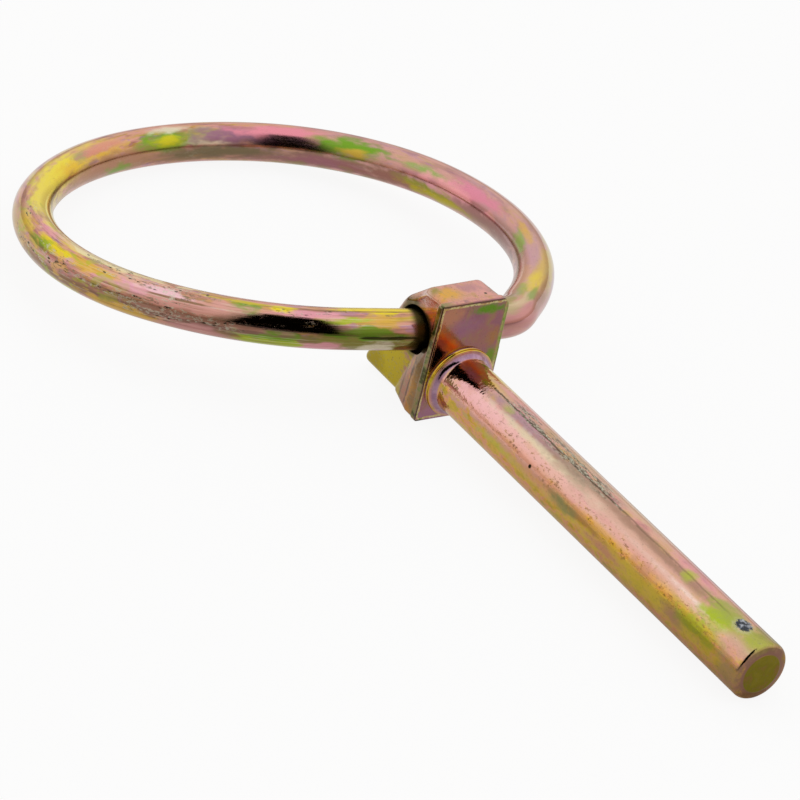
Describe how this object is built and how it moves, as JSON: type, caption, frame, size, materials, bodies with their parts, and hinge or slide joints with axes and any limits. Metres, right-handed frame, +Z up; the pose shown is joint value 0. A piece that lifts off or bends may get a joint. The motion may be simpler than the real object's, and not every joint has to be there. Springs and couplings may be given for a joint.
{
  "type": "lynch pin",
  "caption": "Lynch pin: a round pin with a flanged, pierced head whose sprung wire ring folds over the shank to keep it in its hole.",
  "frame": {"origin": "on the shank's axis, where the plain shank leaves the collar", "axes": "+X along the lying pin towards the shank's tip, +Y along the hinge axis, +Z up from the ground the pin rests on; the shank itself falls 1.2 degrees towards its tip"},
  "size_m": [0.1047, 0.0539, 0.013],
  "materials": {
    "pin_steel": "bright yellow zinc plate with rose, gold, orange and green interference colours over forged steel",
    "ring_steel": "bright yellow zinc plate with rose, gold and green interference colours over drawn spring wire"
  },
  "bodies": {
    "pin": {"pin": "pin_steel"},
    "ring": {"ring": "ring_steel"}
  },
  "joints": [
    {"name": "ring_hinge", "type": "hinge", "parent": "pin", "child": "ring", "pos_m": [-0.00527, 0, 0.00401], "axis": [0, 1, 0], "range_deg": [-160.9, 186.5]}
  ]
}
